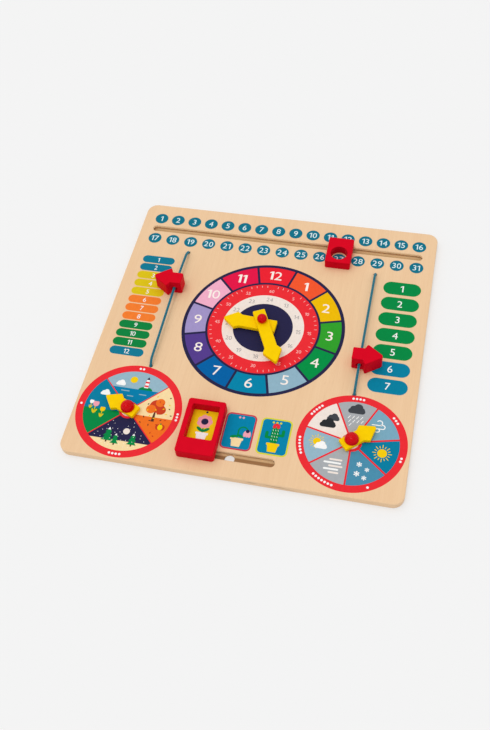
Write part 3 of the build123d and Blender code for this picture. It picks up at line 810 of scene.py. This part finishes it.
# Prickly: a cactus with two arms and a small red flower.
pot(cactus_x, stand_y, sun_yellow)
cards.lay(moved(label(7, 17, 3.5), cactus_x, stand_y + 16.5), leaf_green, 2.1)
for side, rise in ((-1, 14.0), (1, 17.0)):
    elbow = moved(label(5, 2.6, 0.6, 3), cactus_x + side * 5, stand_y + rise)
    cards.lay(elbow, leaf_green, 2.2)
    arm = moved(label(2.8, 7, 1.4, 6), cactus_x + side * 7, stand_y + rise + 2.4)
    cards.lay(arm, leaf_green, 2.3)
for place in range(12):
    row, column = divmod(place, 3)
    spine = label(0.35, 1.5, 0.15, 2)
    spine = moved(spine, cactus_x + 2.2 * (column - 1), stand_y + 12 + 3.2 * row, 20)
    cards.lay(spine, white, 3)
for place in range(5):
    across, up = polar(1.8, 54.0 * place - 18.0)
    petal = moved(disc(1.5, 20), cactus_x + across, stand_y + 25.4 + up)
    cards.lay(petal, ring_red, 3 + 0.1 * place)
cards.finish()

# Hands, pointers and their pegs
# Yellow arrows cut from beech, and turned red pegs glued into the board that hold them down on
# white nylon washers. All the wood is dipped in a satin lacquer.


def lacquered(name, colour, grain, relief, gloss, smooth, end_grain_and_shade=0.0):
    """A satin lacquer over wood: faint grain, a little uneven, darker on faces along y: end grain and
    painted shade.
    """
    material, tree, shader = new_material(name)
    patches = spread(tree, streaks(tree, (160, 160, 160), 3.0), 0.35, 0.65, 0.0, 0.5)
    coat = mix_colours(tree, patches, colour, darker(colour, 0.9))
    facing = add_node(tree, "ShaderNodeTexCoord").outputs["Normal"]
    along = add_node(tree, "ShaderNodeSeparateXYZ", {0: facing}).outputs[1]
    # Painted shade, together with the end grain: the faces that look along y, the fronts toward the
    # camera among them, are darkened.
    ends = calculate(tree, "MULTIPLY", calculate(tree, "MULTIPLY", along, along), end_grain_and_shade)
    coat = mix_colours(tree, ends, coat, darker(colour, 0.6))
    tree.links.new(coat, shader.inputs["Base Color"])
    fibres = streaks(tree, grain, 3.0)
    roughen(tree, shader, fibres, smooth, smooth + 0.08)
    shader.inputs["Specular IOR Level"].default_value = gloss
    emboss(tree, shader, fibres, 0.04 * mm, relief)
    return material


def nylon():
    """White moulded nylon with a fine matt texture."""
    material, tree, shader = new_material("white_nylon")
    grain = streaks(tree, (2600, 2600, 2600), 2.0)
    colour = mix_colours(tree, grain, shade(244, 240, 234), shade(226, 220, 212))
    tree.links.new(colour, shader.inputs["Base Color"])
    roughen(tree, shader, grain, 0.45, 0.6)
    emboss(tree, shader, grain, 0.01 * mm, 0.3)
    return material


grain_across = (60, 1400, 1400)
grain_up = (1400, 60, 1400)
red_lacquer = lacquered(
    "red_lacquer", shade(219, 8, 35), grain_up, relief=0.3, gloss=0.015, smooth=0.3, end_grain_and_shade=0.45
)
knob_lacquer = lacquered(
    "knob_lacquer", shade(211, 1, 12), grain_up, relief=0.02, gloss=0.11, smooth=0.12
)
yellow_lacquer = lacquered(
    "yellow_lacquer", shade(253, 209, 0), grain_across, relief=0.12, gloss=0.03, smooth=0.32
)
white_nylon = nylon()
for name in ("hour_hand", "minute_hand", "season_pointer", "weather_pointer"):
    finish_node(name, yellow_lacquer)
for name in ("clock_peg", "season_knob", "weather_knob"):
    finish_node(name, knob_lacquer)
for name in ("clock_base_washer", "clock_hand_washer", "season_washer", "weather_washer"):
    finish_node(name, white_nylon)

# Cords, knots and beads
# Two braided cotton cords, each strung tight from hole to hole over the board's face and knotted
# behind it, with a red wooden arrow bead that slides on it.
cord_diameter = 2.5 * mm
strand_count = 6
strand_radius = 0.28 * mm
strand_wave = 0.15 * mm
braid_radius = cord_diameter / 2 - strand_radius - strand_wave
braid_pitch = 5.6 * mm
braid_step = 0.16 * mm
core_radius = 0.76 * mm
cord_top = [(89.8, 4.2), (89.8, 6.2), (89.8, 7.9), (83.0, 11.8)]
cord_foot = [(-45.8, 11.8), (-50.4, 7.9), (-50.4, 6.2), (-50.4, 4.2)]
month_span = [(78.5, 12.1), (49.8, 14.2), (37.0, 14.2), (-41.5, 11.9)]
weekday_span = [(78.5, 11.9), (-9.9, 14.2), (-22.7, 14.2), (-41.5, 12.2)]
knot_size = 0.6
knot_depth = 1.6
knot_steps = 120
knot_yarn_radius = 0.98 * mm


def cotton():
    """Dyed cotton yarn: matt, soft at grazing angles and fibrous."""
    material, tree, shader = new_material("teal_cotton")
    fibres = streaks(tree, (5200, 1600, 5200), 3.0)
    tone = spread(tree, fibres, noise_low, noise_high, 0.0, 1.0)
    colour = mix_colours(tree, tone, shade(6, 98, 118), shade(28, 133, 155))
    tree.links.new(colour, shader.inputs["Base Color"])
    shader.inputs["Roughness"].default_value = 0.8
    shader.inputs["Specular IOR Level"].default_value = 0.2
    shader.inputs["Sheen Weight"].default_value = 0.3
    shader.inputs["Sheen Roughness"].default_value = 0.5
    emboss(tree, shader, fibres, 0.04 * mm, 0.5)
    return material


def strung_line(route):
    """Points along the smooth line of a cord, from the control points of its route."""
    curve = bpy.data.curves.new("route", "CURVE")
    curve.dimensions = "3D"
    curve.resolution_u = 32
    spline = curve.splines.new("NURBS")
    spline.points.add(len(route) - 1)
    for point, place in zip(spline.points, route):
        point.co = (*(Vector(place) * mm), 1.0)
    spline.order_u = 3
    spline.use_endpoint_u = True
    holder = bpy.data.objects.new("route", curve)
    line = bpy.data.meshes.new_from_object(holder)
    bpy.data.objects.remove(holder)
    return [vert.co.copy() for vert in line.vertices]


def even_points(line, step):
    """Points of a line at even distances, each with its direction and its distance along the line."""
    marks = [0.0]
    for before, after in zip(line, line[1:]):
        marks.append(marks[-1] + (after - before).length)
    count = round(marks[-1] / step)
    found = []
    run = 0
    for place in range(count + 1):
        distance = marks[-1] * place / count
        while run < len(line) - 2 and marks[run + 1] < distance:
            run += 1
        share = (distance - marks[run]) / (marks[run + 1] - marks[run])
        direction = (line[run + 1] - line[run]).normalized()
        found.append((line[run].lerp(line[run + 1], share), direction, distance))
    return found


def tube_mesh(name, lines, radius, sides):
    """Round tubes of one radius along lines of points, with closed ends, as one mesh."""
    curve = bpy.data.curves.new(name, "CURVE")
    curve.dimensions = "3D"
    curve.bevel_depth = radius
    curve.bevel_resolution = sides
    curve.use_fill_caps = True
    for line in lines:
        spline = curve.splines.new("POLY")
        spline.points.add(len(line) - 1)
        for point, place in zip(spline.points, line):
            point.co = (*place, 1.0)
    holder = bpy.data.objects.new(name, curve)
    mesh = bpy.data.meshes.new_from_object(holder)
    bpy.data.objects.remove(holder)
    return mesh


def new_piece(name, meshes, material, body):
    """A piece of one or more meshes, smooth shaded, that rides on a body."""
    shape = bmesh.new()
    for mesh in meshes:
        shape.from_mesh(mesh)
    bmesh.ops.remove_doubles(shape, verts=shape.verts[:], dist=0.0005 * mm)
    bmesh.ops.recalc_face_normals(shape, faces=shape.faces[:])
    for face in shape.faces:
        face.smooth = True
        face.material_index = 0
    mesh = bpy.data.meshes.new(name)
    shape.to_mesh(mesh)
    shape.free()
    mesh.materials.append(material)
    piece = bpy.data.objects.new(name, mesh)
    bpy.context.scene.collection.objects.link(piece)
    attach(piece, body)
    return piece


teal_cotton = cotton()
for name, cord_x, span in (("month", -92.7, month_span), ("weekday", 95.2, weekday_span)):
    route = [(cord_x, y, z) for y, z in cord_top + span + cord_foot]
    line = strung_line(route)
    sideways = Vector((1, 0, 0))
    strands = []
    for place in range(2 * strand_count):
        hand = 1 if place < strand_count else -1
        strand = []
        for point, direction, distance in even_points(line, braid_step):
            turn = hand * 2 * math.pi * distance / braid_pitch + 2 * math.pi * place / strand_count
            wave = hand * strand_wave * math.cos(2 * math.pi * strand_count * distance / braid_pitch)
            outwards = math.cos(turn) * sideways + math.sin(turn) * direction.cross(sideways)
            strand.append(point + outwards * (braid_radius + wave))
        strands.append(strand)
    core = [point for point, direction, distance in even_points(line, 10 * braid_step)]
    yarns = [tube_mesh("strands", strands, strand_radius, 1), tube_mesh("core", [core], core_radius, 2)]
    braid = new_piece(f"{name}_cord_braid", yarns, teal_cotton, "board")
    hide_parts(f"{name}_cord")

    knots = []
    for end in (route[0], route[-1]):
        seat = Vector(end) * mm
        loop = []
        for step in range(knot_steps + 1):
            turn = 2 * math.pi * step / knot_steps
            across = math.sin(turn) + 2 * math.sin(2 * turn)
            up = math.cos(turn) - 2 * math.cos(2 * turn)
            out = -math.sin(3 * turn)
            bend = Vector((across, up, out)) * knot_size - Vector((0, 0, knot_depth))
            loop.append(seat + bend * mm)
        knots.append(tube_mesh("knot", [loop], knot_yarn_radius, 3))
    tied = new_piece(f"{name}_cord_tied_knots", knots, teal_cotton, "board")
    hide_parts(f"{name}_cord_knots")

for name in ("month_bead", "weekday_bead"):
    finish_node(name, red_lacquer)

# Date slider
# A red block with a round window. A steel screw holds it from the back through a nylon bush in the
# slot and a birch plate in the channel, so that it slides and swivels.
pale_birch = shade(240, 202, 150)


def bare_wood(name, colour, painted_middle_shade=None, slot_y=0.0):
    """Sawn wood without a finish, in a slot paler under the lips and darker in the middle: painted
    light and shade.
    """
    material, tree, shader = new_material(name)
    fibres = streaks(tree, (40, 1800, 1800), 4.0)
    # Painted light and shade: a slot's floor is paler where the lips shade it and darker along its open
    # middle.
    if painted_middle_shade:
        place = add_node(tree, "ShaderNodeTexCoord").outputs["Object"]
        across = add_node(tree, "ShaderNodeSeparateXYZ", {0: place}).outputs[1]
        from_middle = calculate(tree, "ABSOLUTE", calculate(tree, "SUBTRACT", across, slot_y))
        painted_shade_band = spread(tree, from_middle, 1.3 * mm, 2.5 * mm, 1.0, 0.0)
        colour = mix_colours(tree, painted_shade_band, colour, painted_middle_shade)
    tone = spread(tree, fibres, noise_low, noise_high, 0.0, 0.25)
    tree.links.new(mix_colours(tree, tone, colour, shade(130, 88, 48)), shader.inputs["Base Color"])
    roughen(tree, shader, fibres, 0.6, 0.8)
    emboss(tree, shader, fibres, 0.05 * mm, 0.4)
    return material


def zinc_steel():
    """Zinc plated steel, faintly mottled."""
    material, tree, shader = new_material("zinc_steel")
    mottle = streaks(tree, (900, 900, 900), 3.0)
    colour = mix_colours(tree, mottle, shade(206, 206, 210), shade(176, 178, 186))
    tree.links.new(colour, shader.inputs["Base Color"])
    roughen(tree, shader, mottle, 0.25, 0.42)
    shader.inputs["Metallic"].default_value = 1.0
    emboss(tree, shader, mottle, 0.01 * mm, 0.3)
    return material


birch = bare_wood("bare_birch", shade(226, 189, 136))
steel = zinc_steel()
finish_node("date_slider_block", red_lacquer)
finish_node("date_slider_bush", white_nylon)
finish_node("date_slider_retainer", birch)
finish_node("date_slider_screw", steel)
# The date strip's darker middle is painted shade, and its paler sides under the lips are painted light.
date_strip = bare_wood("date_strip", pale_birch, shade(208, 170, 120), joint_at["date_swivel"].y)
finish_node("date_slot_backing", date_strip)

# Mood slider
# A red frame round a window, with a solid foot. A birch key glued under the foot keeps it square to
# the lower slot, and a screw with a birch plate holds it from the back.
mood_slot_y = -130.1 * mm
finish_node("mood_slider_frame", red_lacquer)
finish_node("mood_slider_key", birch)
finish_node("mood_slider_retainer", birch)
finish_node("mood_slider_screw", steel)
# The mood strip's dark middle is painted shade, and its paler sides under the lips are painted light.
mood_strip = bare_wood("mood_strip", pale_birch, shade(160, 114, 68), mood_slot_y)
finish_node("mood_slot_backing", mood_strip)

# Stage
# A plain pale floor that keeps the shadow, an even sky, and two soft lamps overhead, a broad one on
# the left and a smaller one nearer the camera, which stands where the photograph was taken from.
floor_reach = 6.0
floor_gap = 0.1 * mm
floor_shape = bmesh.new()
bmesh.ops.create_grid(floor_shape, x_segments=1, y_segments=1, size=floor_reach)
bmesh.ops.translate(floor_shape, vec=(0, 0, cad_low.z - floor_gap), verts=floor_shape.verts[:])
floor_mesh = bpy.data.meshes.new("floor")
floor_shape.to_mesh(floor_mesh)
floor_shape.free()
floor = bpy.data.objects.new("floor", floor_mesh)
bpy.context.scene.collection.objects.link(floor)

backdrop_level = 0.905
sky_level = 0.76
broad_level = 0.10
small_level = 0.14
floor_glow = 0.5
floor_material, floor_tree, floor_shader = new_material("floor")


def direct_rays(tree):
    """1 for what is seen, directly, in a reflection or through glass, and 0 for other light."""
    rays = add_node(tree, "ShaderNodeLightPath").outputs
    seen = calculate(tree, "MAXIMUM", rays["Is Camera Ray"], rays["Is Glossy Ray"])
    return calculate(tree, "MAXIMUM", seen, rays["Is Transmission Ray"])


seen = direct_rays(floor_tree)
seen_level = backdrop_level * (1.0 - floor_glow)
matt_level = spread(floor_tree, seen, 0.0, 1.0, backdrop_level, seen_level)
matt_colour = add_node(floor_tree, "ShaderNodeCombineXYZ", dict.fromkeys(range(3), matt_level))
floor_tree.links.new(matt_colour.outputs[0], floor_shader.inputs["Base Color"])
glow_level = calculate(floor_tree, "MULTIPLY", seen, backdrop_level * floor_glow)
floor_tree.links.new(glow_level, floor_shader.inputs["Emission Strength"])
floor_shader.inputs["Emission Color"].default_value = (1.0, 1.0, 1.0, 1.0)
floor_shader.inputs["Roughness"].default_value = 1.0
floor_shader.inputs["Specular IOR Level"].default_value = 0.0
floor_mesh.materials.append(floor_material)

world = bpy.data.worlds.new("sky")
world.use_nodes = True
sky = world.node_tree.nodes["Background"]
sky_seen = direct_rays(world.node_tree)
sky_strength = spread(world.node_tree, sky_seen, 0.0, 1.0, sky_level, backdrop_level)
world.node_tree.links.new(sky_strength, sky.inputs["Strength"])
sky.inputs["Color"].default_value = (1.0, 1.0, 1.0, 1.0)
bpy.context.scene.world = world

for name, lamp_level, softness, way in (
    ("broad_lamp", broad_level, 40.0, Vector((0.45, -0.25, -1.0)).normalized()),
    ("small_lamp", small_level, 16.0, Vector((0.21, 0.25, -1.0)).normalized()),
):
    lamp_data = bpy.data.lights.new(name, "SUN")
    lamp_data.energy = lamp_level * math.pi / -way.z
    lamp_data.angle = math.radians(softness)
    lamp = bpy.data.objects.new(name, lamp_data)
    lamp.rotation_mode = "QUATERNION"
    lamp.rotation_quaternion = way.to_track_quat("-Z", "Y")
    bpy.context.scene.collection.objects.link(lamp)

camera_place = Vector((136.2, -470.5, 666.1)) * mm
camera_right = Vector((0.9746, 0.2127, -0.0705))
camera_forward = Vector((-0.1785, 0.5422, -0.8211)).normalized()
camera_up = camera_right.cross(camera_forward).normalized()
camera_right = camera_forward.cross(camera_up)
camera_data = bpy.data.cameras.new("camera")
camera_data.sensor_width = 36.0
camera_data.lens = 43.39
camera = bpy.data.objects.new("camera", camera_data)
turned = Matrix((camera_right, camera_up, -camera_forward)).transposed().to_4x4()
camera.matrix_world = Matrix.Translation(camera_place) @ turned
bpy.context.scene.collection.objects.link(camera)
bpy.context.scene.camera = camera
bpy.context.scene.view_settings.view_transform = "Standard"
